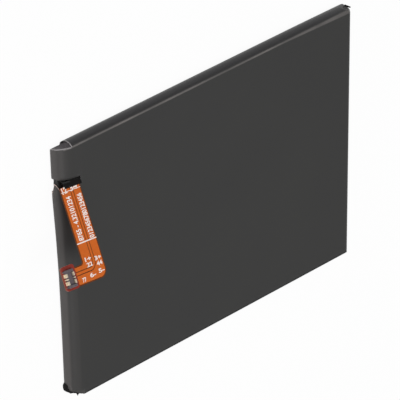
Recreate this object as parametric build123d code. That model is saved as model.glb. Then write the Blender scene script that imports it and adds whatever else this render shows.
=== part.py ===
from build123d import *
import math
import os

# Overall size of the wrapped pack
pack_length = 95.0              # tip of the rolled end to the plain end
pack_width = 62.4               # across the bulged long edges
pack_thickness = 3.4            # back face to front face
film_thickness = 0.1            # plastic wrap film

# Bulged long edges of the film
front_crease_inset = 0.8        # flat front face starts this far in from the widest line
back_crease_inset = 0.9         # flat back face starts this far in
crease_radius = 0.25            # bend along the front crease of the open long edge
far_crease_inset = 0.35         # the far long edge is squarer
far_crease_radius = 0.5
plain_end_radius = 1.5          # bend of the film over the plain end, at the front
plain_end_back_radius = 0.45    # and at the back

# Rolled terminal end of the film
roll_depth = 5.0                # tip to the line where the front face starts to curve down
roll_tip_steps = (              # distance from the open edge, and how far the tip has stepped back there
    (0, 0), (12.8, 0.6), (22.9, 1.55), (32.7, 2.3), (42.5, 2.8), (pack_width, 3.6))
roll_root_step = 1.7            # the line where the curve starts steps back by this much, past the slit
roll_root_even = 15.0           # it runs parallel to the end over this distance from the open edge
roll_tip_height = 1.0           # foremost line above the back face
roll_under_depth = 1.2          # tip to the flat back face
roll_fullness = 0.68            # 0.55 is an ellipse, more is squarer
side_wall_start = 3.7           # tip to the open arch of the long edge
roll_end_inset = 0.45           # open end of the roll, in from the widest line, at the front
roll_end_slant = 0.5            # the same end leans in by this much more at the back
far_corner_edge = (             # trimmed free corner of the roll: from the tip, and in from the far long edge
    (7.1, 0.3), (6.6, 0.9), (5.44, 1.38), (4.63, 1.95), (3.83, 2.15), (3.59, 2.72), (3.45, 3.3), (3.3, 4.0))

# Slit in the roll for the flat circuit, measured from the open long edge
slit_from_edge = 8.0            # cover edge of the slit at the tip
slit_length = 6.4               # tip to the closed end of the slit
slit_slope = 0.6                # the cover edge drops by this much along the slit
slit_closed_width = 0.9         # width of the slit at its closed end
slit_peak_from_edge = 9.0       # the lower edge rises to a point on the nose of the roll
slit_peak_height = 1.34
slit_dip_from_edge = 11.7       # and dips in front of it
slit_dip_depth = 1.4            # tip to the dip
notch_depth = 1.7               # the underside of the roll is cut this far in from the tip
notch_foot_from_edge = 11.4     # lower edge of the cut behind the point
notch_foot_height = 0.69

# Sealed pouch cell
cell_from_tip = 6.2             # tip to the end of the cell body
cell_clearance = 0.05           # cell to film, front and back
cell_end_clearance = 0.75       # cell to film at the plain end
cell_corner_radius = 1.6        # upright corners of the cell body
cell_edge_radius = 0.5          # drawn edges of the cell body
seal_thickness = 0.3            # folded side seal
seal_gap = 0.12                 # folded side seal to the cell body
seal_height = 2.1               # folded side seal above the cell's back
seal_to_film = 0.12             # folded side seal to the film
terrace_depth = 2.0             # flat seal that the tabs come through
terrace_thickness = 0.32
terrace_corner_cut = 2.2        # trimmed corners of the terrace
terrace_edge_gap = 1.6          # terrace to the film at each long edge

# Tabs
tab_width = 4.0
tab_thickness = 0.1
tab_pitch = 11.0                # positive tab to negative tab
tab_bend_radius = 0.5
tab_weld_length = 1.5           # length that lies on the weld plate
tab_seal_margin = 0.7           # sealant film beyond the tab on each side
tab_seal_thickness = 0.2
tab_seal_overhang = 0.25        # sealant film past the edge of the terrace
tab_seal_depth = 1.9            # sealant film inside the terrace

# Protection board on the terrace
board_tape_thickness = 0.1
board_thickness = 0.55
board_width = 2.6
board_length = 46.0
board_from_edge = 2.2           # end of the board to the open long edge
board_gap = 0.2                 # board to the end of the cell body
landing_width = 4.0             # wider end of the board under the flat circuit
landing_length = 9.0
weld_plate_thickness = 0.15
weld_plate_margin = 0.4         # weld plate beyond the tab on each side
cover_tape_thickness = 0.08
cover_tape_clearance = 0.04     # tape to the tallest component and to the end of the board
cover_tape_end = 3.6            # length of the piece over the end of the landing

# Components on the board
ic_length = 1.8
ic_width = 1.5
ic_height = 0.6
transistor_length = 2.6
transistor_width = 1.9
transistor_height = 0.7
thermistor_length = 1.6
thermistor_width = 0.8
thermistor_height = 0.7
fuse_length = 3.0
fuse_width = 1.5
fuse_height = 0.75
chip_length = 1.0
chip_width = 0.5
resistor_height = 0.35
capacitor_height = 0.5
chip_pitch = 1.1
fuse_gap = 0.5                  # least gap from the fuse to the nearer transistor

# Flat circuit
flex_thickness = 0.12
flex_width = 6.15
flex_skew = 5.2                 # the strip leans this many degrees away from the long edges' normal
flex_lift = 28.0                # the free strip rises off the front face by this angle
flex_root_drop = 1.05           # the free strip starts this far past the slit's cover edge
flex_edge_from_cell = 6.83      # strip's outer edge at the root to the end of the cell body
flex_root_lift = 0.35           # strip above the front face at its root
flex_rise_angle = 60.0          # steep rise through the slit
flex_bend_radius = 0.45
flex_inner_length = 5.0         # length lying on the board
flex_neck_width = 3.3
flex_neck_inset = 0.65          # neck's inner edge in from the strip's inner edge
flex_length = 20.83             # free strip from its root to the far edge of the leg
leg_width = 4.28
leg_corner_radius = 2.0         # outer corner of the L
inner_corner_radius = 0.5       # inner corner of the L
root_tape_thickness = 0.06
root_tape_width = 4.1
root_tape_inset = 0.05          # root tape's edge in from the strip's inner edge
root_tape_inner_length = 1.2    # root tape over the part that lies on the board

# Connector at the end of the leg
pad_gap = 2.83                  # strip's outer edge to the connector board
pad_width = 3.87
pad_length = 5.3
pad_radius = 0.6
pad_overhang = 0.1              # connector board past the far edge of the leg
pad_thickness = 0.22
stiffener_thickness = 0.2
stiffener_inset = 0.08
housing_length = 3.9
housing_width = 2.5
housing_height = 0.62
housing_floor = 0.14
housing_wall = 0.27             # each long wall under the contacts
housing_shift_out = 0.28        # housing off the middle of its board, away from the strip
housing_shift_down = 0.17       # and towards the far edge of the leg
housing_end = 0.6               # each end block
contact_thickness = 0.08
contact_tail = 0.35             # contact's foot beside the housing
contact_drop = 0.38             # contact's inner leg below the top of the housing
power_contact_length = 0.8
signal_contact_length = 0.26
power_contact_pitch = 1.65
anchor_length = 0.3
anchor_width = 0.3
anchor_height = 0.12

# Solder joints of the flat circuit on the board
joint_count = 5
joint_width = 0.4
joint_height = 0.3

# Tape end that shows past the film at the trimmed far corner
corner_tape_thickness = 0.08
corner_tape_inner_edge = 7.0    # hidden end of the tape, in from the far long edge
corner_tape_low = 1.1           # lowest line of the tape inside the roll
corner_tape_edge = (            # torn end: from the tip, and in from the far long edge
    (6.3, 1.15), (5.31, 1.3), (5.02, 0.85), (4.61, 1.5), (3.85, 1.3), (3.6, 1.8), (3.45, 2.7), (3.3, 3.3))


# Places worked out from the sizes above
tip_x = -pack_length / 2
end_x = pack_length / 2
half_width = pack_width / 2
cell_x = tip_x + cell_from_tip
cell_low = film_thickness + cell_clearance
cell_high = pack_thickness - film_thickness - cell_clearance
cell_half = half_width - back_crease_inset - film_thickness - seal_to_film - seal_thickness - seal_gap
terrace_x = cell_x - terrace_depth
terrace_top = cell_low + terrace_thickness
board_low = terrace_top + board_tape_thickness
board_top = board_low + board_thickness
board_right = cell_x - board_gap
board_left = board_right - board_width
board_end_y = half_width - board_from_edge
tab_low = cell_low + (terrace_thickness - tab_thickness) / 2
plate_top = board_top + weld_plate_thickness
component_top = board_top + max(ic_height, transistor_height, thermistor_height, fuse_height)
cover_tape_low = component_top + cover_tape_clearance

flex_root_x = cell_x - flex_edge_from_cell
flex_root_y = half_width - slit_from_edge - flex_root_drop
flex_root_z = pack_thickness + flex_root_lift
flex_frame = Location((flex_root_x, flex_root_y, 0), (0, 0, -flex_skew))
lift = math.radians(flex_lift)
tail_plane = Plane(origin=(0, 0, flex_root_z), x_dir=(1, 0, 0), z_dir=(0, math.sin(lift), math.cos(lift)))
pad_x = -pad_gap - pad_width / 2
pad_y = -flex_length - pad_overhang + pad_length / 2
housing_x = pad_x - housing_shift_out
housing_y = pad_y - housing_shift_down


def block(x0, x1, y0, y1, z0, z1):
    """Box between two corners."""
    centre = ((x0 + x1) / 2, (y0 + y1) / 2, (z0 + z1) / 2)
    return Pos(*centre) * Box(x1 - x0, y1 - y0, z1 - z0)


def prism(points, z0, z1):
    """Upright prism on a plan outline."""
    return Pos(0, 0, z0) * extrude(make_face(Polyline(*points, close=True)), z1 - z0)


def roll_tip(y):
    """Foremost X of the roll at a place along it."""
    along = half_width - y
    for (start, before), (end, after) in zip(roll_tip_steps, roll_tip_steps[1:]):
        if along <= end or end == roll_tip_steps[-1][0]:
            return tip_x + before + (after - before) * (along - start) / (end - start)


def roll_root(y):
    """X where the front face starts to curve down, at a place along the roll."""
    share = max(half_width - y - roll_root_even, 0) / (pack_width - roll_root_even)
    return tip_x + roll_depth + roll_root_step * share


def roll_profile(y, inset):
    """Side profile of the pack at y: rolled end and bent plain end, open past the flat front and back."""
    tip = roll_tip(y) + inset
    under = roll_tip(y) + roll_under_depth
    root = roll_root(y)
    low = inset
    high = pack_thickness - inset
    end = end_x - inset
    bend = plain_end_radius - inset
    back_bend = plain_end_back_radius - inset

    def at(x, z):
        return (x, y, z)

    pull_x = roll_fullness * (root - tip)
    pull_z = roll_fullness * (high - roll_tip_height)
    under_x = roll_fullness * (under - tip)
    under_z = roll_fullness * (roll_tip_height - low)
    middle = bend * (1 - math.sqrt(0.5))
    back_middle = back_bend * (1 - math.sqrt(0.5))
    below = low - 1
    above = high + 1
    edges = [
        Line(at(end - back_bend, low), at(end - back_bend, below)),
        Line(at(end - back_bend, below), at(under, below)),
        Line(at(under, below), at(under, low)),
        Bezier(at(under, low), at(under - under_x, low),
               at(tip, roll_tip_height - under_z), at(tip, roll_tip_height)),
        Bezier(at(tip, roll_tip_height), at(tip, roll_tip_height + pull_z),
               at(root - pull_x, high), at(root, high)),
        Line(at(root, high), at(root, above)),
        Line(at(root, above), at(end - bend, above)),
        Line(at(end - bend, above), at(end - bend, high)),
        ThreePointArc(at(end - bend, high), at(end - middle, high - middle), at(end, high - bend)),
        Line(at(end, high - bend), at(end, low + back_bend)),
        ThreePointArc(at(end, low + back_bend), at(end - back_middle, low + back_middle),
                      at(end - back_bend, low)),
    ]
    return Face(Wire(edges))


def widest_line(front_inset):
    """Height of a bulged edge's widest line: the arc through both creases stands upright there."""
    lean = 1 - front_inset / back_crease_inset
    square = pack_thickness ** 2 - front_inset * (back_crease_inset - front_inset)
    return (pack_thickness - math.sqrt(pack_thickness ** 2 - lean * square)) / lean


def edge_section():
    """Cross-section of the pack: flat front and back, bulged long edges, the far one squarer."""
    front = half_width - front_crease_inset
    far_front = half_width - far_crease_inset
    back = half_width - back_crease_inset
    outline = [
        Line((-back, 0), (back, 0)),
        ThreePointArc((back, 0), (half_width, widest_line(front_crease_inset)), (front, pack_thickness)),
        Line((front, pack_thickness), (-far_front, pack_thickness)),
        ThreePointArc((-far_front, pack_thickness), (-half_width, widest_line(far_crease_inset)), (-back, 0)),
    ]
    section = make_face(outline)
    section = fillet(section.vertices().sort_by_distance((front, pack_thickness))[0], crease_radius)
    return fillet(section.vertices().sort_by_distance((-far_front, pack_thickness))[0], far_crease_radius)


def envelope(inset):
    """Closed form of the pack, inset by a film or by nothing."""
    stations = [half_width - along for along, step in roll_tip_steps]
    stations[0] += 1
    stations[-1] -= 1
    stations.insert(1, half_width - roll_root_even)
    side = loft([roll_profile(y, inset) for y in sorted(stations)], ruled=True)
    section = edge_section()
    if inset > 0:
        section = offset(section, -inset)
    bar = extrude(Plane.YZ.offset(tip_x - 1) * section, pack_length + 2)
    return side & bar


def slit_cut():
    """Slit over the front of the roll, and a notch under it; between them the lower edge rises to a point."""
    outside = tip_x - 1
    cover = half_width - slit_from_edge
    closed = tip_x + slit_length
    peak = half_width - slit_peak_from_edge
    front = prism(
        [(outside, cover), (tip_x, cover), (closed, cover - slit_slope),
         (closed, cover - slit_slope - slit_closed_width),
         (tip_x + slit_dip_depth, half_width - slit_dip_from_edge), (roll_tip(peak), peak), (outside, peak)],
        slit_peak_height, pack_thickness + 1)
    foot = half_width - notch_foot_from_edge
    outline = Polyline((cover, -1), (cover, slit_peak_height), (peak, slit_peak_height),
                       (foot, notch_foot_height), (foot, -1), close=True)
    notch = extrude(Plane.YZ.offset(outside) * make_face(outline), roll_tip(peak) + notch_depth - outside)
    return front + notch


def open_end_cut():
    """Trim of the roll's open end, leaning in at the back."""
    front = half_width - roll_end_inset
    back = front - roll_end_slant
    outline = Polyline((front, pack_thickness), (back, 0), (back, -1), (half_width + 1, -1),
                       (half_width + 1, pack_thickness + 1), (front, pack_thickness + 1), close=True)
    return extrude(Plane.YZ.offset(tip_x - 1) * make_face(outline), side_wall_start + 1)


def corner_points(edge):
    """Plan places of a line given from the tip and in from the far long edge."""
    return [(tip_x + along, -half_width + inward) for along, inward in edge]


def far_corner_cut():
    """Trim of the roll's free corner at the far long edge."""
    edge = corner_points(far_corner_edge)
    outside = tip_x - 1
    beyond = -half_width - 1
    outline = [(edge[0][0], beyond)] + edge + [(outside, edge[-1][1]), (outside, beyond)]
    return prism(outline, -1, pack_thickness + 1)


def wrap_film():
    shell = envelope(0) - envelope(film_thickness)
    return shell - slit_cut() - open_end_cut() - far_corner_cut()


def tab_y(sign):
    """Tab centres lie either side of the middle of the board's narrow part, and leave room for the fuse."""
    narrow_middle = board_end_y - (landing_length + board_length) / 2
    transistor_room = transistor_length + weld_plate_margin * 2 + tab_width / 2
    fuse_end = far_place(thermistor_width + weld_plate_margin * 2 + fuse_length)
    nearest = fuse_end + fuse_gap + transistor_room + tab_pitch / 2
    return max(narrow_middle, nearest) + sign * tab_pitch / 2


def pouch_cell():
    """Drawn body, flat terrace at the terminal end and side seals folded up the long edges."""
    end = end_x - film_thickness - cell_end_clearance
    body = block(cell_x, end, -cell_half, cell_half, cell_low, cell_high)
    body = fillet(body.edges().filter_by(Axis.Z), cell_corner_radius)
    body = fillet(body.faces().sort_by(Axis.Z)[-1].edges(), cell_edge_radius)
    for side in (1, -1):
        inner = side * (cell_half - cell_edge_radius)
        face = side * (cell_half + seal_gap)
        outer = side * (cell_half + seal_gap + seal_thickness)
        start = cell_x + cell_corner_radius
        stop = end - cell_corner_radius
        foot = block(start, stop, min(inner, outer), max(inner, outer), cell_low, cell_low + seal_thickness)
        fold = block(start, stop, min(face, outer), max(face, outer), cell_low, cell_low + seal_height)
        body = body + foot + fold
    half = half_width - terrace_edge_gap
    cut = terrace_corner_cut
    terrace = prism([(cell_x + cell_corner_radius, half - cut), (cell_x, half - cut / 2),
                     (terrace_x + cut, half - cut / 2), (terrace_x, half - cut - cut / 2),
                     (terrace_x, cut + cut / 2 - half), (terrace_x + cut, cut / 2 - half),
                     (cell_x, cut / 2 - half), (cell_x + cell_corner_radius, cut - half)],
                    cell_low, terrace_top)
    body = body + terrace
    for sign in (1, -1):
        y = tab_y(sign)
        half_seal = tab_width / 2 + tab_seal_margin
        low = cell_low + (terrace_thickness - tab_seal_thickness) / 2
        pocket = block(terrace_x - 1, terrace_x + tab_seal_depth, y - half_seal, y + half_seal,
                       low, low + tab_seal_thickness)
        body = body - pocket
    return body


def tab_strip(sign):
    """Flat tab that leaves the terrace, folds round the board's edge and lies on its weld plate."""
    y = tab_y(sign)
    low = tab_low + tab_thickness / 2
    high = plate_top + tab_thickness / 2
    bend_x = min(board_left, terrace_x - tab_seal_overhang) - tab_bend_radius
    inner = terrace_x + tab_seal_depth
    bend = min(tab_bend_radius, (high - low) / 2.2)
    path = FilletPolyline((inner, y, low), (bend_x, y, low), (bend_x, y, high),
                          (board_left + tab_weld_length, y, high), radius=bend)
    plane = Plane(origin=(inner, y, low), x_dir=(0, 1, 0), z_dir=(-1, 0, 0))
    return sweep(plane * Rectangle(tab_width, tab_thickness), path)


def tab_seal(sign):
    """Sealant film sleeve round the tab, held in the terrace."""
    y = tab_y(sign)
    half_seal = tab_width / 2 + tab_seal_margin
    low = cell_low + (terrace_thickness - tab_seal_thickness) / 2
    sleeve = block(terrace_x - tab_seal_overhang, terrace_x + tab_seal_depth, y - half_seal, y + half_seal,
                   low, low + tab_seal_thickness)
    slot = block(terrace_x - 1, terrace_x + tab_seal_depth + 1, y - tab_width / 2, y + tab_width / 2,
                 tab_low, tab_low + tab_thickness)
    return sleeve - slot


def weld_plate(sign):
    y = tab_y(sign)
    half_plate = tab_width / 2 + weld_plate_margin
    plate = block(board_left, board_left + tab_weld_length + weld_plate_margin, y - half_plate, y + half_plate,
                  board_top, plate_top)
    return fillet(plate.edges().filter_by(Axis.Z), weld_plate_margin / 2)


def board_outline(z0, z1, trim):
    """Narrow board with a wider landing under the flat circuit."""
    top = board_end_y - trim
    step = board_end_y - landing_length
    left = board_left + trim
    landing = board_right - landing_width + trim
    right = board_right - trim
    bottom = board_end_y - board_length + trim
    outline = [(right, bottom), (right, top), (landing, top), (landing, step), (left, step), (left, bottom)]
    return prism(outline, z0, z1)


def board_tape():
    """Double-sided tape on the terrace, under the narrow part of the board."""
    return block(terrace_x, board_right, board_end_y - board_length, board_end_y - terrace_corner_cut,
                 terrace_top, board_low)


def component(x, y, along_x, along_y, height):
    half_x = along_x / 2
    half_y = along_y / 2
    return block(x - half_x, x + half_x, y - half_y, y + half_y, board_top, board_top + height)


def protection_ic():
    x = board_left + board_width / 2
    y = tab_y(1) - tab_pitch / 2
    body = component(x, y, ic_width, ic_length, ic_height)
    return chamfer(body.faces().sort_by(Axis.Z)[-1].edges(), ic_height / 8)


def far_place(step):
    """Place on the board, counted from its far end."""
    return board_end_y - board_length + step


def switch_transistors():
    x = board_left + board_width / 2
    reach = tab_width / 2 + weld_plate_margin * 2 + transistor_length / 2
    first = tab_y(-1) - reach
    second = tab_y(1) + reach
    pair = []
    for y in (first, second):
        body = component(x, y, transistor_width, transistor_length, transistor_height)
        pair.append(chamfer(body.faces().sort_by(Axis.Z)[-1].edges(), transistor_height / 8))
    return pair


def fuse():
    x = board_left + board_width / 2
    y = far_place(thermistor_width + weld_plate_margin * 2 + fuse_length / 2)
    return component(x, y, fuse_width, fuse_length, fuse_height)


def thermistor():
    x = board_left + board_width / 2
    y = far_place(weld_plate_margin + thermistor_width / 2)
    return component(x, y, thermistor_length, thermistor_width, thermistor_height)


def chips(count, side, height):
    """Row of small chips beside the protection IC, on one side of it."""
    x = board_left + board_width / 2
    middle = tab_y(1) - tab_pitch / 2
    found = []
    for number in range(count):
        y = middle + side * (ic_length / 2 + chip_pitch * (number + 0.6))
        found.append(component(x, y, chip_length, chip_width, height))
    return found


def cover_tape():
    """Insulating tape over the components, and a second piece folded down over the end of the landing."""
    left = board_left - cover_tape_thickness - cell_clearance
    low = far_place(weld_plate_margin / 2)
    high = board_end_y - landing_length - weld_plate_margin
    top = cover_tape_low + cover_tape_thickness
    along = block(left, board_right, low, high, cover_tape_low, top)
    landing_left = board_right - landing_width
    end = board_end_y + cover_tape_clearance
    over = block(landing_left, board_right, end - cover_tape_end, end, cover_tape_low, top)
    flap = block(landing_left, board_right, end, end + cover_tape_thickness, board_low, top)
    return [along, over + flap]


def flex_path(inner_length, tail):
    """Side line of the flat circuit: flat on the board, steep through the slit, then the lifted tail."""
    board_z = board_top + flex_thickness / 2
    slope = math.tan(lift)
    rise = math.tan(math.radians(flex_rise_angle))
    top_y = flex_bend_radius / 2
    top_z = flex_root_z - top_y * slope
    foot_y = top_y + (top_z - board_z) / rise
    return FilletPolyline((0, foot_y + inner_length, board_z), (0, foot_y, board_z), (0, top_y, top_z),
                          (0, -tail, flex_root_z + tail * slope), radius=flex_bend_radius)


def swept_strip(path, left, right, above, thickness):
    """Strip of the given width carried along the side line, above it by a distance."""
    start = path @ 0
    plane = Plane(origin=start, x_dir=(1, 0, 0), z_dir=(0, -1, 0))
    section = plane * Pos((left + right) / 2, above) * Rectangle(right - left, thickness)
    return sweep(section, path)


def flex_neck_edges():
    right = flex_width - flex_neck_inset
    return right - flex_neck_width, right


def flex_outline():
    """Outline of the lifted tail in its own plane: the strip, the leg and the connector's place."""
    bottom = -flex_length
    leg_top = bottom + leg_width
    pad_left = pad_x - pad_width / 2
    shape = Pos(flex_width / 2, bottom / 2) * Rectangle(flex_width, flex_length)
    leg = Pos(pad_x / 2, (leg_top + bottom) / 2) * Rectangle(-pad_x, leg_width)
    shape = shape + leg
    outer = shape.vertices().sort_by_distance((flex_width, bottom))[0]
    shape = fillet(outer, leg_corner_radius)
    inner = shape.vertices().sort_by_distance((0, leg_top))[0]
    shape = fillet(inner, inner_corner_radius)
    pad = Pos(pad_x, pad_y) * RectangleRounded(pad_width, pad_length, pad_radius)
    return shape + pad


def flex_circuit():
    """One flat circuit: soldered root, bend through the slit, lifted strip, leg and connector pad."""
    left, right = flex_neck_edges()
    root = swept_strip(flex_path(flex_inner_length, flex_bend_radius), left, right, 0, flex_thickness)
    flat = extrude(flex_outline(), flex_thickness / 2, both=True)
    return flex_frame * (root + tail_plane * flat)


def flex_root_tape():
    """Glossy tape over the front of the bend, wider than the neck."""
    right = flex_width - root_tape_inset
    left = right - root_tape_width
    above = (flex_thickness + root_tape_thickness) / 2
    inner = swept_strip(flex_path(root_tape_inner_length, 0.02), left, right, above, root_tape_thickness)
    return flex_frame * inner


def solder_joints():
    """Small solder fillets along the inner end of the flat circuit."""
    left, right = flex_neck_edges()
    end = flex_path(flex_inner_length, flex_bend_radius) @ 0
    step = (right - left) / joint_count
    joints = []
    for number in range(joint_count):
        x = left + step * (number + 0.5)
        foot = make_face(Polyline((end.Y, board_top), (end.Y + joint_height, board_top),
                                  (end.Y + joint_height * 0.45, board_top + joint_height * 0.3),
                                  (end.Y, board_top + flex_thickness), close=True))
        bar = extrude(Plane.YZ.offset(x - joint_width / 2) * foot, joint_width)
        joints.append(flex_frame * bar)
    return joints


def on_tail(shape):
    """Places a piece that was drawn on the tail's own plane."""
    return flex_frame * (tail_plane * shape)


pad_low = flex_thickness / 2
pad_high = pad_low + pad_thickness


def connector_board():
    outline = RectangleRounded(pad_width, pad_length, pad_radius)
    return on_tail(Pos(pad_x, pad_y, pad_low) * extrude(outline, pad_thickness))


def connector_stiffener():
    outline = RectangleRounded(pad_width - 2 * stiffener_inset, pad_length - 2 * stiffener_inset,
                               pad_radius - stiffener_inset)
    low = -flex_thickness / 2 - stiffener_thickness
    return on_tail(Pos(pad_x, pad_y, low) * extrude(outline, stiffener_thickness))


def contact_places():
    """Power contacts either side of one signal contact, along the housing."""
    return [(power_contact_pitch / 2, power_contact_length), (-power_contact_pitch / 2, power_contact_length)]


def wall_outer():
    return housing_width / 2 - contact_thickness


def connector_housing():
    """Moulded tray: floor, two end blocks and two long walls that carry the contacts."""
    half = housing_width / 2
    ends = housing_length / 2
    floor_half = half - contact_thickness
    body = block(-floor_half, floor_half, -ends, ends, pad_high, pad_high + housing_floor)
    high = pad_high + housing_height
    wall_top = high - contact_thickness
    for side in (1, -1):
        outer = side * wall_outer()
        inner = side * (wall_outer() - housing_wall)
        body = body + block(min(outer, inner), max(outer, inner), -ends, ends, pad_high, wall_top)
        inner_y = side * (ends - housing_end)
        cap = block(-half, half, min(inner_y, side * ends), max(inner_y, side * ends), pad_high, high)
        cap = fillet(cap.edges().filter_by(Axis.Z), housing_end / 5)
        body = body + chamfer(cap.faces().sort_by(Axis.Z)[-1].edges(), contact_thickness)
    return on_tail(Pos(housing_x, housing_y) * body)


def contact(side, y, length):
    """Formed contact: foot on the board, up the wall, over its top and down inside."""
    t = contact_thickness
    out = wall_outer()
    foot = out + contact_tail
    top = pad_high + housing_height
    inside = out - housing_wall
    drop = top - contact_drop
    outline = Polyline((foot, pad_high), (out, pad_high), (out, top - t), (inside, top - t), (inside, drop),
                       (inside - t, drop), (inside - t, top), (out + t, top), (out + t, pad_high + t),
                       (foot, pad_high + t), close=True)
    profile = make_face(outline)
    strip = extrude(Plane.XZ.offset(-length / 2) * profile, length)
    if side < 0:
        strip = mirror(strip, Plane.YZ)
    return on_tail(Pos(housing_x, housing_y + y) * strip)


def power_contacts():
    found = []
    for side in (1, -1):
        for y, length in contact_places():
            found.append(contact(side, y, length))
    return found


def signal_contacts():
    return [contact(side, 0, signal_contact_length) for side in (1, -1)]


def anchor_pads():
    """Four small metal anchors at the corners of the housing."""
    found = []
    for side in (1, -1):
        for end in (1, -1):
            x = side * (housing_width / 2 + anchor_width / 2)
            y = end * (housing_length / 2 - housing_end / 2)
            pad = Pos(x, y, pad_high + anchor_height / 2) * Box(anchor_width, anchor_length, anchor_height)
            found.append(on_tail(Pos(housing_x, housing_y) * pad))
    return found


def corner_tape():
    """Insulating tape inside the roll, with a torn end that shows past the film's trimmed corner."""
    sheet = envelope(film_thickness) - envelope(film_thickness + corner_tape_thickness)
    edge = corner_points(corner_tape_edge)
    hidden = -half_width + corner_tape_inner_edge
    outline = edge + [(tip_x, edge[-1][1]), (tip_x, hidden), (edge[0][0], hidden)]
    return sheet & prism(outline, corner_tape_low, pack_thickness)


def write(name, shape):
    if isinstance(shape, list):
        shape = Compound(children=shape)
    export_step(shape, "parts/" + name + ".step")


def build():
    os.makedirs("parts", exist_ok=True)
    write("wrap_film", wrap_film())
    write("pouch_cell", pouch_cell())
    write("positive_tab", tab_strip(1))
    write("negative_tab", tab_strip(-1))
    write("positive_tab_seal", tab_seal(1))
    write("negative_tab_seal", tab_seal(-1))
    write("positive_weld_plate", weld_plate(1))
    write("negative_weld_plate", weld_plate(-1))
    write("board_tape", board_tape())
    write("protection_board", board_outline(board_low, board_top, 0))
    write("protection_ic", protection_ic())
    write("switch_transistors", switch_transistors())
    write("fuse", fuse())
    write("thermistor", thermistor())
    write("chip_resistors", chips(2, 1, resistor_height))
    write("chip_capacitors", chips(2, -1, capacitor_height))
    write("cover_tape", cover_tape())
    write("corner_tape", corner_tape())
    write("flex_circuit", flex_circuit())
    write("flex_root_tape", flex_root_tape())
    write("flex_solder_joints", solder_joints())
    write("connector_board", connector_board())
    write("connector_stiffener", connector_stiffener())
    write("connector_housing", connector_housing())
    write("power_contacts", power_contacts())
    write("signal_contacts", signal_contacts())
    write("anchor_pads", anchor_pads())


build()
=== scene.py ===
import math
import bmesh
import bpy
import numpy as np
from mathutils import Matrix, Vector


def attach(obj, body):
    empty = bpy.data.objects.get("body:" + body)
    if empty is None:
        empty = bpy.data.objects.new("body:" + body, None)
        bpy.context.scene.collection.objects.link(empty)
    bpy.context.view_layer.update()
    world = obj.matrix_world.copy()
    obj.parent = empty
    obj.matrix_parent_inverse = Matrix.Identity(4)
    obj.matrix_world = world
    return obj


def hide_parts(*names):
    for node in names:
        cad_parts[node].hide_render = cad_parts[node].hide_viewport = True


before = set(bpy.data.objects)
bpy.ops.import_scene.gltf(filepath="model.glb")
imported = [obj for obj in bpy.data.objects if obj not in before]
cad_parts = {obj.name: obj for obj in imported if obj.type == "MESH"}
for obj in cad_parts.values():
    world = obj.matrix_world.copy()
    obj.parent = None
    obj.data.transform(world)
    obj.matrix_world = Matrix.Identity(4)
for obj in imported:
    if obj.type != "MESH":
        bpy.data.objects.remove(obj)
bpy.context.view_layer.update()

mm = 0.001
print("frame loaded:", len(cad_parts), "solids")


# camera

cameraSet = {
    "place": (-0.77251, 0.54375, 0.69476), "aim": (0.00047, -0.00065, 0.0), "roll": 112.64,
    "lens": 481.79, "sensor": 36,
}


def setCamera(s):
    # at its place, looking at the aim, turned by the roll about the line of sight
    data = bpy.data.cameras.new("photoCamera")
    data.lens = s["lens"]
    data.sensor_width = s["sensor"]
    camera = bpy.data.objects.new("photoCamera", data)
    bpy.context.scene.collection.objects.link(camera)
    place = Vector(s["place"])
    turn = (Vector(s["aim"]) - place).to_track_quat("-Z", "Y").to_matrix().to_4x4()
    roll = Matrix.Rotation(math.radians(s["roll"]), 4, "Z")
    camera.matrix_world = Matrix.Translation(place) @ turn @ roll
    bpy.context.scene.camera = camera


# shader nodes as expressions

class Value:
    # a socket that can be added, multiplied and so on; each sum becomes a Math node
    def __init__(self, shader, socket):
        self.shader = shader
        self.socket = socket

    def join(self, operation, first, second):
        return self.shader.join(operation, first, second)

    def __add__(self, other):
        return self.join("ADD", self, other)

    __radd__ = __add__

    def __sub__(self, other):
        return self.join("SUBTRACT", self, other)

    def __rsub__(self, other):
        return self.join("SUBTRACT", other, self)

    def __mul__(self, other):
        return self.join("MULTIPLY", self, other)

    def __truediv__(self, other):
        return self.join("DIVIDE", self, other)

    def __gt__(self, other):
        return self.join("GREATER_THAN", self, other)

    def __lt__(self, other):
        return self.join("LESS_THAN", self, other)


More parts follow.
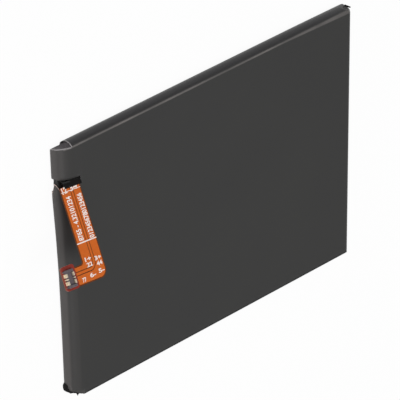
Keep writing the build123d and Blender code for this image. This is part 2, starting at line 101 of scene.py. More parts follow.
class Shader:
    # the nodes of one material or of the world; add() makes any node from its type, settings and inputs
    def __init__(self, name, world=False):
        self.owner = bpy.data.worlds.new(name) if world else bpy.data.materials.new(name)
        self.owner.use_nodes = True
        self.tree = self.owner.node_tree
        self.tree.nodes.clear()
        self.output = self.tree.nodes.new("ShaderNodeOutputWorld" if world else "ShaderNodeOutputMaterial")

    def plug(self, socket, value):
        # a Value is linked to the socket, anything else is set as its constant
        if isinstance(value, Value):
            self.tree.links.new(value.socket, socket)
        else:
            socket.default_value = value

    def add(self, kind, settings=None, inputs=None, out=0):
        # one node; its value is the output of that number or name
        node = self.tree.nodes.new(kind)
        for key, value in (settings or {}).items():
            if key == "stops":
                self.setStops(node.color_ramp, value)
            else:
                setattr(node, key, value)
        for key, value in (inputs or {}).items():
            self.plug(node.inputs[key], value)
        return Value(self, node.outputs[out])

    def setStops(self, ramp, stops):
        # each stop is a place from 0 to 1 and a level of grey
        while len(ramp.elements) < len(stops):
            ramp.elements.new(0.5)
        for element, (place, level) in zip(ramp.elements, stops):
            element.position = place
            element.color = (level, level, level, 1)

    def place(self):
        # the point on the piece, in metres
        return self.add("ShaderNodeTexCoord", out="Object")

    def noise(self, perMm, detail=3.0, roughness=0.5, stretch=None):
        # its scale per metre is the number per mm divided by 0.001; a stretch multiplies the place first
        where = self.place()
        if stretch:
            where = self.add("ShaderNodeMapping", {}, {"Vector": where, "Scale": stretch})
        return self.add("ShaderNodeTexNoise", {}, {
            "Vector": where, "Scale": perMm / mm, "Detail": detail, "Roughness": roughness})

    def ramp(self, value, stops):
        # the level read between the stops at the value
        return self.add("ShaderNodeValToRGB", {"stops": stops}, {"Fac": value})

    def blend(self, share, first, second):
        # first * (1 - share) + second * share
        node = self.tree.nodes.new("ShaderNodeMix")
        node.data_type = "RGBA"
        for key, value in (("Factor", share), ("A", first), ("B", second)):
            self.plug([i for i in node.inputs if i.name == key and i.enabled][0], value)
        return Value(self, [o for o in node.outputs if o.enabled][0])

    def bump(self, height, depth):
        # the normal tilts by the slope of the height, which is worth the depth in mm
        return self.add("ShaderNodeBump", {}, {"Height": height, "Distance": depth * mm, "Strength": 1.0})

    def join(self, operation, *values):
        # one Math node on the values in their order
        return self.add("ShaderNodeMath", {"operation": operation}, dict(enumerate(values)))

    def surface(self, inputs):
        # ends the material with one Principled surface
        return self.end(self.add("ShaderNodeBsdfPrincipled", {}, inputs))

    def mix(self, share, first, second):
        # the first surface times (1 - share), plus the second times the share
        return self.add("ShaderNodeMixShader", {}, {0: share, 1: first, 2: second})

    def rays(self):
        # three values, 1 for rays from the camera, off gloss and through glass
        return [self.add("ShaderNodeLightPath", out="Is %s Ray" % kind)
                for kind in ("Camera", "Glossy", "Transmission")]

    def end(self, made):
        # what is made goes to the output
        self.plug(self.output.inputs["Surface"], made)
        return self.owner


def rgb(red, green, blue):
    # a colour as read off a screen, 0 to 255, to linear light: the level over 12.92 if it is dark, else
    # (level + 0.055) / 1.055 to the power 2.4
    def linear(level):
        c = level / 255
        return c / 12.92 if c <= 0.04045 else ((c + 0.055) / 1.055) ** 2.4

    return (linear(red), linear(green), linear(blue), 1.0)


def tone(color, gain):
    # the colour times the gain
    return tuple(c * gain for c in color[:3]) + (1.0,)


def finish(name, color, roughness, metallic=0.0, grain=2.0, depth=0.01, uneven=0.12, gloss=0.5, coat=0.0):
    # an even finish with a fine grain: the colour drifts by the uneven share either way, the roughness by
    # 0.3 of itself times the grain less a half, and the bump follows the grain
    s = Shader(name)
    drift = s.noise(grain * 0.12, 2.0)
    fine = s.noise(grain, 4.0, 0.6)
    return s.surface({
        "Base Color": s.blend(drift, tone(color, 1 - uneven), tone(color, 1 + uneven)),
        "Roughness": roughness + (fine - 0.5) * (roughness * 0.3),
        "Metallic": metallic,
        "Specular IOR Level": gloss,
        "Coat Weight": coat,
        "Coat Roughness": 0.12,
        "Normal": s.bump(fine, depth),
    })


# grids made with numpy

def gridPatch(points, material=0, keep=None):
    # quads between neighbours of a (rows, columns, 3) grid in mm; keep is a (rows-1, columns-1) mask of
    # faces, and material is a number or an array of the mask's shape
    rows, columns = points.shape[:2]
    index = np.arange(rows * columns).reshape(rows, columns)
    quads = np.stack([index[:-1, :-1], index[1:, :-1], index[1:, 1:], index[:-1, 1:]], -1)
    keep = np.ones((rows - 1, columns - 1), bool) if keep is None else keep
    marks = np.broadcast_to(material, keep.shape)[keep]
    return points.reshape(-1, 3), quads[keep], marks


def loopPatch(points):
    # the same for a grid whose columns close into a ring
    return gridPatch(np.concatenate([points, points[:, :1]], axis=1))


def makePiece(name, patches, materials, slot, replaces=(), sharp=30, recalculate=True, sheet=0, **settings):
    # one mesh of all patches, in metres: points closer than 0.001 mm become one, edges that turn by more
    # than the sharp angle stay sharp, and a sheet gets its thickness, with any settings for its sides
    faces, marks, start = [], [], 0
    for points, quads, mark in patches:
        faces += (quads + start).tolist()
        marks += np.broadcast_to(mark, len(quads)).tolist()
        start += len(points)
    vertices = np.concatenate([points for points, quads, mark in patches]) * mm
    mesh = bpy.data.meshes.new(name)
    mesh.from_pydata(vertices.tolist(), [], faces)
    mesh.polygons.foreach_set("material_index", marks)
    work = bmesh.new()
    work.from_mesh(mesh)
    bmesh.ops.remove_doubles(work, verts=work.verts, dist=1e-6)
    bmesh.ops.dissolve_degenerate(work, edges=work.edges, dist=1e-7)
    loose = [v for v in work.verts if not v.link_faces]
    bmesh.ops.delete(work, geom=loose, context="VERTS")
    if recalculate:
        bmesh.ops.recalc_face_normals(work, faces=work.faces)
    work.to_mesh(mesh)
    work.free()
    for material in materials:
        mesh.materials.append(material)
    mesh.polygons.foreach_set("use_smooth", [True] * len(mesh.polygons))
    mesh.set_sharp_from_angle(angle=math.radians(sharp))
    piece = bpy.data.objects.new(name, mesh)
    bpy.context.scene.collection.objects.link(piece)
    if sheet:
        modifier = piece.modifiers.new("Solidify", "SOLIDIFY")
        modifier.thickness = sheet * mm
        modifier.offset = 0
        for key, value in settings.items():
            setattr(modifier, key, value)
    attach(piece, "root")
    if replaces:
        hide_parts(*replaces)


def bezier(a, b, c, d, t):
    # from a to d with the handles b and c, weighed by (1-t)^3, 3 (1-t)^2 t, 3 (1-t) t^2 and t^3
    return (1 - t) ** 3 * a + 3 * (1 - t) ** 2 * t * b + 3 * (1 - t) * t ** 2 * c + t ** 3 * d


def smoothStep(low, high, value):
    # 0 up to low, 1 from high on, and 3 t^2 - 2 t^3 of the share t in between
    t = np.clip((value - low) / (high - low), 0, 1)
    return t * t * (3 - 2 * t)


def sines(along, terms):
    # the sum of size * sin(rate * along + start)
    return sum(np.sin(along * rate + start) * size for size, rate, start in terms)


def roundedLine(points, radius, steps):
    # a polyline whose inner corners are replaced by arcs: each arc starts the radius times tan(half the
    # turn) before its corner
    points = np.asarray(points, float)
    out = [points[:1]]
    for before, corner, after in zip(points[:-2], points[1:-1], points[2:]):
        come = (before - corner) / np.linalg.norm(before - corner)
        go = (after - corner) / np.linalg.norm(after - corner)
        turn = math.pi - math.acos(np.clip(come @ go, -1, 1))
        reach = radius * math.tan(turn / 2)
        middle = (come + go) / np.linalg.norm(come + go)
        centre = corner + middle * math.hypot(reach, radius)
        share = np.linspace(0, 1, steps + 1)[:, None]
        arc = (corner + come * reach) * (1 - share) + (corner + go * reach) * share - centre
        out.append(centre + arc / np.linalg.norm(arc, axis=1, keepdims=True) * radius)
    out.append(points[-1:])
    return np.concatenate(out)


# wrap film

film = {
    "length": 95.0, "width": 62.4, "thickness": 3.4, "sheet": 0.1, "endRadius": 1.5, "endBackRadius": 0.45,
    # inset and fillet of the front creases of the open edge and the far edge, inset of the back creases
    "nearCrease": (0.8, 0.25), "farCrease": (0.35, 0.5), "backCrease": 0.9,
    "rollDepth": 5.0, "rollTipHeight": 1.0, "rollUnder": 1.2, "rollFullness": 0.68,
    # distance from the open edge, and how far each line of the roll has stepped back there
    "tipSteps": ((0, 0), (12.8, 0.6), (22.9, 1.55), (32.7, 2.3), (42.5, 2.8), (62.4, 3.6)),
    "rootSteps": ((15.0, 0), (62.4, 1.7)), "archSteps": ((15.0, 0), (61.2, 2.2)),
    "archStart": 3.7, "archFade": 0.9, "openBackTrim": 1.35, "evenEnds": 1.2,
    # how far in from the open edge the roll ends, at each height
    "openTrim": ((1.0, 0.72), (1.6, 0.64), (2.6, 0.58), (3.0, 0.62), (3.25, 0.74), (3.4, 0.8)),
    # trimmed corner: where it starts from the tip, and how far in from the far edge at each height and
    # along the back
    "farStart": 7.1, "farBack": ((4.7, 4.0), (7.1, 0.7)),
    "farTrim": ((0.65, 3.3), (1.18, 2.78), (1.8, 2.32), (2.31, 1.83), (2.72, 1.78), (3.03, 1.68),
                (3.29, 1.1), (3.4, 0.75)),
    # slit: its peak and foot as distance from the open edge and height, its dip as that from tip and edge
    "slitFromEdge": 8.0, "slitLength": 6.4, "slitSlope": 0.6, "slitEnd": 0.9, "notch": 1.7,
    "slitPeak": (9.0, 1.34), "slitDip": (1.4, 11.7), "notchFoot": (11.4, 0.69),
    # rows of the grid under the roll, over its nose and from the arch to its root; columns up to the slit,
    # in it and up to the open end; cut edges take finish 3 and the slit's lip finish 6
    "rollRows": (9, 29, 5), "columns": (44, 4, 14), "cutFinish": 3, "lipFinish": 6,
    # rows of the front: their way past the mark line and short of the end radius, and how many; and the
    # closer ones up to the end radius
    "flatRows": (0.4, 3, 56), "closeRows": (2.4, 6),
    "lip": 0.24, "lipEnd": 1.5, "creaseWave": 0.05, "rollWave": 0.03, "seamPlace": -9.0, "seamStep": 0.04,
    # size, rate and start of the sines in the open crease and in the nose
    "wander": ((0.55, 0.115, 0.6), (0.3, 0.29, 2.0), (0.15, 0.71, 0)),
    "ripple": ((0.6, 0.23, 1.0), (0.4, 0.61, 0.4)),
    # where the painted light and shade of the face start: the painted highlight along the fold, its height,
    # its spread and fade along the length, the painted lighter roll, its steps, the painted darker wall,
    # and the painted dark turns of the end and the far edge
    "foldFrom": 29.8, "foldAbove": 2.95, "foldSpread": 24, "foldFade": 30, "rollShade": (-40.5, 30.4),
    "stepsFrom": 18, "wallShade": (1.2, 30.55), "endShade": 46.2, "farShade": -30.4,
    # the bulge narrows towards the plain end, and the corner there is drawn in
    "narrowFrom": 28.0, "narrowBy": 0.34, "cornerDraw": 1.9, "cornerRound": 0.45,
    # the folded end behind the arch, from and to along the length, and the pinched ridge at the plain end
    "tuckSpan": (0.5, 7.3), "tuckDepth": 1.4, "tuckLean": 0.62, "tuckInset": 0.14, "tuckHollow": 0.25,
    "flareFrom": 2.9, "flareTo": 4.5, "flareGap": 0.26,
    "foldStart": (46.6, 30.72, 1.62), "foldTip": (47.34, 30.34, 2.72), "foldSize": 0.4,
}


def stepLine(start, steps):
    # x of a line along the roll: the start plus the step read between the listed places, even at both ends
    places, sizes = np.array(steps, float).T
    even = film["evenEnds"]

    def line(y):
        along = np.clip(film["width"] / 2 - y, even, film["width"] - even)
        return start + np.interp(along, places, sizes)

    return line


tipX = -film["length"] / 2
rollTip = stepLine(tipX, film["tipSteps"])
rollRoot = stepLine(tipX + film["rollDepth"], film["rootSteps"])
archLine = stepLine(tipX + film["archStart"], film["archSteps"])


def edgeSection(s, crease):
    # half section across a long edge, front to back as (y, z): a circle that stands upright at the widest
    # line, so its height h solves (1 - f/b) h^2 - 2 T h + T^2 - f (b - f) = 0 for the insets f and b of the
    # creases, and a small fillet where it meets the flat front
    half, top, back = s["width"] / 2, s["thickness"], s["backCrease"]
    front, fillet = crease
    lean = 1 - front / back
    high = (top - math.sqrt(top ** 2 - lean * (top ** 2 - front * (back - front)))) / lean
    radius = (high ** 2 / back + back) / 2
    centre = np.array([half - radius, high])
    bendY = centre[0] + math.sqrt((radius - fillet) ** 2 - (top - fillet - high) ** 2)
    bendAt = np.array([bendY, top - fillet])
    away = (bendAt - centre) / np.linalg.norm(bendAt - centre)
    turn = np.linspace(math.pi / 2, math.atan2(away[1], away[0]), 8)
    bend = bendAt + fillet * np.stack([np.cos(turn), np.sin(turn)], 1)
    arc = np.linspace(math.atan2(away[1], away[0]), math.atan2(-high, radius - back), 20)[1:]
    wall = centre + radius * np.stack([np.cos(arc), np.sin(arc)], 1)
    return np.concatenate([bend, wall])


def roundedEnd(s, z):
    # x of the plain end at a height: the end less each radius, plus the root of radius^2 - drop^2
    end, top, front, back = s["length"] / 2, s["thickness"], s["endRadius"], s["endBackRadius"]
    up = np.maximum(z - (top - front), 0)
    down = np.maximum(back - z, 0)
    return end - front + np.sqrt(front ** 2 - up ** 2) - back + np.sqrt(back ** 2 - down ** 2)


def noseCurve(s, y, t, inset=0.0):
    # the front of the roll at y: a Bezier curve from its foremost line to the line where the flat front
    # starts, with both handles at the fullness times the distance
    tip, root, full = rollTip(y) + inset, rollRoot(y), s["rollFullness"]
    top, low = s["thickness"] - inset, s["rollTipHeight"]
    x = bezier(tip, tip, root - full * (root - tip), root, t)
    return x, bezier(low, low + full * (top - low), top, top, t) + 0 * tip


def underCurve(s, y, t):
    # the same under the roll, from the flat back to the foremost line
    tip, full, low = rollTip(y), s["rollFullness"], s["rollTipHeight"]
    start = tip + s["rollUnder"]
    x = bezier(start, start - full * s["rollUnder"], tip, tip, t)
    return x, bezier(0.0, 0.0, low * (1 - full), low, t) + 0 * tip


def filmSheets(s):
    # the closed loop of the wrap as one grid, and the two long walls: rows run under the roll, over its
    # nose, along the front, round the plain end and back along the back; columns run from the far edge to
    # the open one
    half, top = s["width"] / 2, s["thickness"]
    closed, farX = tipX + s["slitLength"], tipX + s["farStart"]
    farTrim, farBack, openTrim = (np.array(s[key]) for key in ("farTrim", "farBack", "openTrim"))
    near, far = edgeSection(s, s["nearCrease"]), edgeSection(s, s["farCrease"])
    # the far section is read at the near one's heights, so that the rows of the plain end meet both
    far = np.stack([np.interp(near[::-1, 1], far[::-1, 1], far[::-1, 0])[::-1], near[:, 1]], 1)
    # one row carries the closed end of the slit and the start of the trimmed corner
    markLine = stepLine(closed, ((15.0, 0), (s["width"] - s["evenEnds"], farX - closed)))
    flatEnd = s["length"] / 2 - s["endRadius"]
    past, short, many = s["flatRows"]
    reach, few = s["closeRows"]
    flatX = np.concatenate([np.linspace(farX + past, flatEnd - short, many),
                            np.linspace(flatEnd - reach, flatEnd, few)])
    capZ = near[1:-1, 1]
    underRows, noseRows, archRows = s["rollRows"]
    underShare, noseShare, archShare = (np.linspace(0, 1, n + 1)[:-1, None] for n in s["rollRows"])
    backTail = np.array([1, 0.94, 0.75, 0.5, 0.24, 0.12, 0])

    def rows(y):
        # x and z of every row for an array of y, one column each
        wide = np.ones((1, len(y)))
        fine = np.linspace(0, 1, 400)
        curves = noseCurve(s, y[:, None], fine[None, :])[0]
        share = np.array([np.interp(place, curve, fine) for place, curve in zip(archLine(y), curves)])
        ux, uz = underCurve(s, y[None, :], underShare)
        nx, nz = noseCurve(s, y[None, :], noseShare * share[None, :])
        ax, az = noseCurve(s, y[None, :], share[None, :] + archShare * (1 - share[None, :]))
        fx = np.concatenate([rollRoot(y)[None], markLine(y)[None], flatX[:, None] * wide])
        cx, cz = roundedEnd(s, capZ)[:, None] * wide, capZ[:, None] * wide
        start = rollTip(y)[None, :] + s["rollUnder"]
        tail = start + (archLine(y)[None, :] - start) * backTail[:-1, None]
        backEnd = (flatEnd + s["endRadius"] - s["endBackRadius"]) * wide
        bx = np.concatenate([backEnd, fx[::-1], ax[:0:-1], tail])
        x = np.concatenate([ux, nx, ax, fx, cx, bx])
        z = np.concatenate([uz, nz, az, 0 * fx + top, cz, 0 * bx])
        return x, z

    fronts = len(flatX) + 2
    counts = np.cumsum([0, underRows, noseRows, archRows, fronts, len(capZ), fronts + archRows,
                        len(backTail) - 1])
    # 0 under, 1 nose, 2 arch to root, 3 front, 4 cap, 5 back, 6 back near the roll
    kind = np.repeat(np.arange(7), np.diff(counts))

    def rowsAt(y):
        # x and z of each row at that row's own y
        x, z = rows(y)
        return np.diagonal(x), np.diagonal(z)

    def edgeWidth(side, section):
        # y of the outermost column for each row; its x depends on y, so it is found in a few rounds
        y = np.full(len(kind), side * (half - s["evenEnds"] / 2))
        for attempt in range(3):
            x, z = rowsAt(y)
            width = np.where(z > top / 2, section[0, 0], half - s["backCrease"])
            width = np.where(kind == 4, np.interp(z, section[::-1, 1], section[::-1, 0]), width)
            if side > 0:
                atBack = np.isin(kind, [0, 6])
                front = np.interp(z, openTrim[:, 0], openTrim[:, 1])
                back = s["openBackTrim"] + (openTrim[0, 1] - s["openBackTrim"]) * smoothStep(0, 1, z)
                trimmed = half - np.where(atBack, back, front)
                arch = archLine(half)
                share = np.where(atBack, x > arch - 0.01, smoothStep(arch - s["archFade"], arch - 0.02, x))
                share[kind == 4] = 1
            else:
                cut = np.where(kind < 5, np.interp(z, farTrim[:, 0], farTrim[:, 1]),
                               np.interp(x - tipX, farBack[:, 0], farBack[:, 1]))
                trimmed = half - cut
                share = (x > farX - 0.001).astype(float)
            y = side * (trimmed * (1 - share) + width * share)
        return y

    def slitLines():
        # y of both edges of the slit: the cover edge slopes a little, and the lower edge rises to a point
        # on the nose and dips on either side of it
        peak, dip, foot = half - s["slitPeak"][0], half - s["slitDip"][1], half - s["notchFoot"][0]
        end = half - s["slitFromEdge"] - s["slitSlope"] - s["slitEnd"]
        x, z = rowsAt(np.full(len(kind), peak))
        cover = half - s["slitFromEdge"] - s["slitSlope"] * np.clip((x - tipX) / s["slitLength"], 0, 1)
        front = np.interp(x, [rollTip(peak), tipX + s["slitDip"][0], closed], [peak, dip, end])
        back = np.interp(z, [0.0, s["notchFoot"][1], s["slitPeak"][1]], [foot, foot, peak])
        onBack = (z < s["slitPeak"][1]) & np.isin(kind, [0, 1, 6])
        return np.where(onBack, back, front), cover

    farY, nearY = edgeWidth(-1, far), edgeWidth(1, near)
    lower, cover = slitLines()

    def between(a, b, shares):
        # a + (b - a) * share, one column for each share
        return a[:, None] + (b - a)[:, None] * shares[None, :]

    first, inSlit, beyond = s["columns"]
    last = first + inSlit
    y = np.concatenate([
        between(farY, lower - s["lip"], np.linspace(0, 1, first)),
        between(lower, cover, np.linspace(0, 1, inSlit + 1)[:-1]),
        between(cover, nearY - s["lip"], np.linspace(0, 1, beyond)), nearY[:, None]], axis=1)
    columns = [rowsAt(column) for column in y.T]
    grid = np.stack([np.stack([x for x, z in columns], 1), y, np.stack([z for x, z in columns], 1)], -1)
    grid = np.concatenate([grid, grid[:1]])
    keep = np.ones((grid.shape[0] - 1, grid.shape[1] - 1), bool)
    mid = grid[:, first:last + 1, 0].mean(1)
    step = (mid[:-1] + mid[1:]) / 2
    onFront = np.isin(kind, [1, 2, 3]) & (step < closed)
    onNotch = np.isin(kind, [0, 6]) & (step < rollTip(half - s["slitPeak"][0]) + s["notch"])
    keep[onFront | onNotch, first:last] = False
    # cut edges are painted pale: a narrow lip along the open end of the roll, and a near white painted
    # highlight along the slit's lower edge
    finishes = np.zeros(keep.shape, int)
    finishes[(onFront | onNotch) & (step < closed - s["lipEnd"]), first - 1] = s["lipFinish"]
    finishes[step < archLine(half), -1] = s["cutFinish"]

    def strip(column, start, side, section):
        # the bulged wall of a long edge: the section at each row, its heights times the row's own height
        # over the thickness, then one row that closes the plain end
        border = grid[start:counts[4], column]
        out = np.zeros((len(border) + 1, len(section), 3))
        out[:, :, 1] = side * section[None, :, 0]
        out[:-1, :, 0] = border[:, :1]
        out[:-1, :, 2] = section[None, :, 1] * border[:, 2:] / top
        out[-1, :, 0] = roundedEnd(s, section[:, 1])
        out[-1, :, 2] = section[:, 1]
        return out

    nearSide, farSide = strip(-1, counts[2], 1, near), strip(0, counts[3] + 1, -1, far)
    archFinish = np.zeros((len(nearSide) - 1, 1), int)
    archFinish[0] = s["cutFinish"]
    return (grid, keep, finishes), (nearSide, archFinish), farSide


def filmShape(points, s):
    # small changes of form: sums of sines make the open crease wander and the nose uneven, the seam on the
    # back steps up, and the bulge draws in towards the plain end by the square of the distance
    x, y, z = points[..., 0], points[..., 1], points[..., 2]
    half, top, end = s["width"] / 2, s["thickness"], s["length"] / 2
    wander, ripple = sines(x, s["wander"]), sines(y, s["ripple"])
    offRoll, onRoll = smoothStep(tipX + 3, tipX + 7.5, x), smoothStep(tipX + 6, tipX + 3, x)
    reach = offRoll * smoothStep(end - 0.1, end - 2.5, x)
    nearEdge = smoothStep(half - 1.6, half - 0.9, y) * np.clip(z / top, 0, 1) * reach
    wall = np.clip((y - half + 0.9) / 0.9, 0, 1)
    onBack = (z < 0.001) * (x > tipX + 6.5) * (x < end - 1.5)
    seam = smoothStep(s["seamPlace"] - 0.03, s["seamPlace"] + 0.03, y) * onBack
    corner = np.clip((y - half + 1.8) / 1.8, 0, 1) ** 2
    raised = np.clip((z - 0.6) / 1.5, 0, 1)
    towardsEnd = np.clip((x - s["narrowFrom"]) / (end - s["narrowFrom"]), 0, 1)
    out = points.copy()
    out[..., 0] += s["rollWave"] * ripple * onRoll * np.clip(z / 1.2, 0, 1)
    out[..., 0] -= s["cornerDraw"] * corner * raised * smoothStep(end - 3.5, end, x)
    out[..., 1] += s["creaseWave"] * 1.2 * (wander - 1) * 0.5 * nearEdge
    out[..., 1] -= s["narrowBy"] * wall * towardsEnd ** 2
    out[..., 1] -= s["cornerRound"] * wall * np.clip((x - end + 1.4) / 1.4, 0, 1) ** 2
    out[..., 2] += s["seamStep"] * seam - s["creaseWave"] * (wander * 0.5 + 0.5) * nearEdge
    return out


def filmMaterials():
    # the face's colour is a chain of blends, each with a share that ramps over a place on the film
    s = Shader("satinFilm")
    drift = s.noise(0.05, 2.0)
    grain = s.noise(3.5, 5.0, 0.65)
    rub = s.noise(0.6, 3.0, 0.6, stretch=(0.25, 1.0, 1.0))
    at = s.place()
    x, y, z = (s.add("ShaderNodeSeparateXYZ", {}, {0: at}, axis) / mm for axis in "XYZ")
    # painted highlight: the fold along the open long edge is painted lighter where its crease catches the
    # light, more in some places than in others, and it spreads over the face near the plain end
    spread = s.ramp((x - film["foldSpread"]) * 0.04, ((0.0, 0.0), (1.0, 1.0))) * 0.6
    inFold = y - film["foldFrom"]
    fold = s.ramp(inFold + spread, ((0.12, 0.0), (0.35, 1.0)))
    fold = fold * s.ramp(inFold, ((0.55, 1.0), (0.74, 0.0))) * (z > film["foldAbove"])
    wander = s.ramp(s.noise(0.09, 3.0, stretch=(1.0, 0.05, 0.05)), ((0.3, 0.35), (0.65, 1.0)))
    wander = wander * s.ramp((x - film["foldFade"]) * 0.06, ((0.0, 1.0), (1.0, 0.72)))
    # painted light: the film over the roll is painted lighter towards the tip, as light falls on its turned
    # side: evenly by the open end, in steps further on
    depth = (film["thickness"] + 0.05 - z) * 0.45
    even = s.ramp(depth, ((0.0, 0.0), (0.35, 0.55), (1.0, 1.0)))
    stepped = s.ramp(depth, ((0.02, 0.0), (0.04, 0.25), (0.38, 0.28), (0.54, 0.95), (1.0, 1.0)))
    further = s.ramp((film["stepsFrom"] - y) * 0.12, ((0.0, 0.0), (1.0, 1.0)))
    rollX, rollY = film["rollShade"]
    roll = (even * (1 - further) + stepped * further) * (x < rollX) * (y < rollY)
    # painted shade: the wall of the open edge is painted a little darker under its crease, and the turns of
    # the other edges, which face away from the light, are painted darker too
    wallZ, wallY = film["wallShade"]
    under = s.ramp((z - wallZ) * 0.5, ((0.0, 0.0), (0.4, 1.0), (0.9, 1.0), (1.0, 0.3))) * (y > wallY)
    atEnd = s.ramp(x - film["endShade"], ((0.0, 0.0), (0.35, 1.0)))
    atFar = s.ramp(film["farShade"] - y, ((0.0, 0.0), (0.12, 1.0)))
    turned = s.join("MAXIMUM", atEnd, atFar)
    plain = s.blend(drift, rgb(60, 60, 60), rgb(63, 63, 62))
    plain = s.blend(under * 0.8, plain, rgb(46, 45, 47))
    plain = s.blend(turned, plain, rgb(30, 30, 31))
    face = s.surface({
        "Base Color": s.blend(fold * wander, s.blend(roll, plain, rgb(83, 80, 79)), rgb(118, 114, 112)),
        "Roughness": 0.42 + (rub - 0.5) * 0.07 + (grain - 0.5) * 0.05,
        "Specular IOR Level": 0.26,
        "Normal": s.bump(grain, 0.004),
    })
    inside = finish("filmInside", rgb(92, 88, 88), 0.55, grain=4, uneven=0.15, gloss=0.3)
    cutEdge = finish("filmCutEdge", rgb(146, 142, 143), 0.5, grain=8, uneven=0.2)
    # painted highlight: the slit's lip lies in shade and is painted near white
    slitLipHighlight = finish("filmSlitLip", rgb(228, 206, 198), 0.5, grain=8, uneven=0.15)
    # in threes, because a wall gives its rim the next finish and its inner side the one after
    return [face, cutEdge, inside, cutEdge, cutEdge, inside, slitLipHighlight, slitLipHighlight, inside]


def filmTuck(s):
    # the film's folded end, tucked in behind the open end of the roll: a sheet between the back and the
    # roll's front, at the tuck's depth less the lean times the share of the height
    start, end = s["tuckSpan"]
    across = np.linspace(tipX + start, tipX + end, 30)[None, :]
    share = np.linspace(0, 1, 14)[:, None]
    inner, low = s["width"] / 2 - s["tuckDepth"], s["tuckInset"]
    y = inner + s["tuckLean"] * share + 0 * across
    line, height = noseCurve(s, np.array(inner), np.linspace(0, 1, 300), low)
    z = low + (np.interp(across, line, height) - low) * share
    y = y - s["tuckHollow"] * np.sin(math.pi * share) * smoothStep(tipX + start, tipX + 2, across)
    # behind the arch it flares out to the inner side of the bulge
    section = edgeSection(s, s["nearCrease"])[::-1]
    flare = smoothStep(tipX + s["flareFrom"], tipX + s["flareTo"], across)
    y = y * (1 - flare) + (np.interp(z, section[:, 1], section[:, 0]) - s["flareGap"]) * flare
    return np.stack([across + 0 * z, y, z], -1)


def cornerFold(s):
    # a small pinched ridge of film at the corner of the plain end: a three-sided bar from the start to the
    # tip, 0.4 of its size thinner there
    share = np.linspace(0, 1, 8)[:, None]
    start, tip = np.array(s["foldStart"]), np.array(s["foldTip"])
    spine = start + (tip - start) * share
    size = s["foldSize"] * (1 - share * 0.4)
    ways = ((0.2, 0.6, 0.2), (0.5, -0.4, 0.1), (-0.5, -0.5, -0.4))
    return np.stack([spine + size * np.array(way) for way in ways], 1)


print("building the wrap film")
(sheet, kept, sheetFinish), (nearStrip, nearFinish), farStrip = filmSheets(film)
makePiece("wrapFilm", [
    gridPatch(filmShape(sheet, film), sheetFinish, kept),
    gridPatch(filmShape(nearStrip, film), nearFinish),
    gridPatch(filmShape(farStrip, film)),
], filmMaterials(), "wrap_film", ["wrap_film"], sharp=50, sheet=film["sheet"],
    offset=-1, use_even_offset=True, material_offset=2, material_offset_rim=1)
tuckFinish = finish("filmTucked", rgb(90, 85, 88), 0.55, grain=3, depth=0.02, gloss=0.3)
makePiece("filmTuck", [gridPatch(filmTuck(film))], [tuckFinish], "wrap_film", recalculate=False,
          sheet=film["sheet"])
foldFinish = finish("filmPinched", rgb(26, 25, 26), 0.6, gloss=0.1)
makePiece("filmCornerFold", [loopPatch(cornerFold(film))], [foldFinish], "wrap_film")


# flat circuit

flex = {
    "root": (-48.13, 22.15, 3.75), "skew": 5.2, "lift": 28.0,
    "width": 6.15, "length": 20.83, "legWidth": 4.28, "outerRadius": 2.0, "innerRadius": 0.6,
    "sheet": 0.12, "cover": 0.02,
    "neck": (2.2, 5.5), "neckLength": 5.0, "neckRise": 60.0, "bend": 0.45, "boardTop": 1.12,
    "padCentre": (-4.765, -18.28), "padSize": (3.87, 5.3), "padRadius": 0.6,
    "pourGap": 0.28, "gapWidth": 0.2, "sink": 0.005,
    # both sides of the trace across the strip, and the line across it that has the trace's leg and radius
    "trace": (3.07, 3.63), "traceLine": 3.38, "traceLeg": -18.2, "traceRadius": 1.6,
    # printed text, middle x and y on the tail, height, length, degrees turned: two rows along the strip,
    # two marks at the root, and the pins on the leg
    "marks": (
        ("0123456780123456", 4.95, -7.15, 1.36, 9.8, 90), ("8765 - 4.32101234", 1.72, -7.0, 1.4, 9.8, 90),
        ("12", 1.2, -0.65, 1.35, 1.5, 4), ("34", 4.0, -0.5, 1.35, 2.3, 4),
        ("1+", 1.9, -15.95, 0.9, 1.9, 0), ("22", 1.9, -17.15, 0.9, 1.7, 0),
        ("3+", 4.75, -16.4, 0.9, 1.9, 0), ("44", 4.75, -17.6, 0.9, 1.7, 0), ("5-", 4.7, -19.2, 0.9, 1.8, 0),
        ("6-", 1.95, -19.45, 0.9, 1.8, 0), ("77", -0.85, -19.8, 0.9, 1.2, 0),
    ),
    # left, right, bottom and top of the printed bars, and their radius and bevel
    "bars": ((0.15, 6.1, -12.42, -12.16), (0.2, 6.0, -1.1, -0.95)), "barEdge": (0.03, 0.004),
    # the print's height, a figure's height as a share of the font's size, and how much bolder it is
    "print": 0.012, "figure": 0.72, "bolder": 0.03,
}


def onFlexFrame(points):
    # turned by the skew about the upright line through the root
    turn = math.radians(flex["skew"])
    x, y, z = points[..., 0], points[..., 1], points[..., 2]
    rootX, rootY, rootZ = flex["root"]
    return np.stack([rootX + x * math.cos(turn) + y * math.sin(turn),
                     rootY - x * math.sin(turn) + y * math.cos(turn), z], -1)


def onTail(points):
    # x across the strip, y along it, third the height off its middle plane: tipped up by the lift
    tip = math.radians(flex["lift"])
    x, y, n = points[..., 0], points[..., 1], points[..., 2]
    return onFlexFrame(np.stack([x, y * math.cos(tip) + n * math.sin(tip),
                                 flex["root"][2] - y * math.sin(tip) + n * math.cos(tip)], -1))


def turnLine(x, y, radius, end):
    # one line of the L: down at x, a quarter turn of the radius, then out at y to the end
    down = np.linspace(0, 1, 30)[:-1, None] * np.array([[0, y + radius]]) + [x, 0]
    angle = np.linspace(0, math.pi / 2, 14)[:, None]
    bend = np.array([x - radius, y + radius]) + radius * np.concatenate([np.cos(angle), -np.sin(angle)], 1)
    out = np.array([x - radius, y]) + np.linspace(0, 1, 14)[1:, None] * np.array([[end - x + radius, 0]])
    return np.concatenate([down, bend, out])


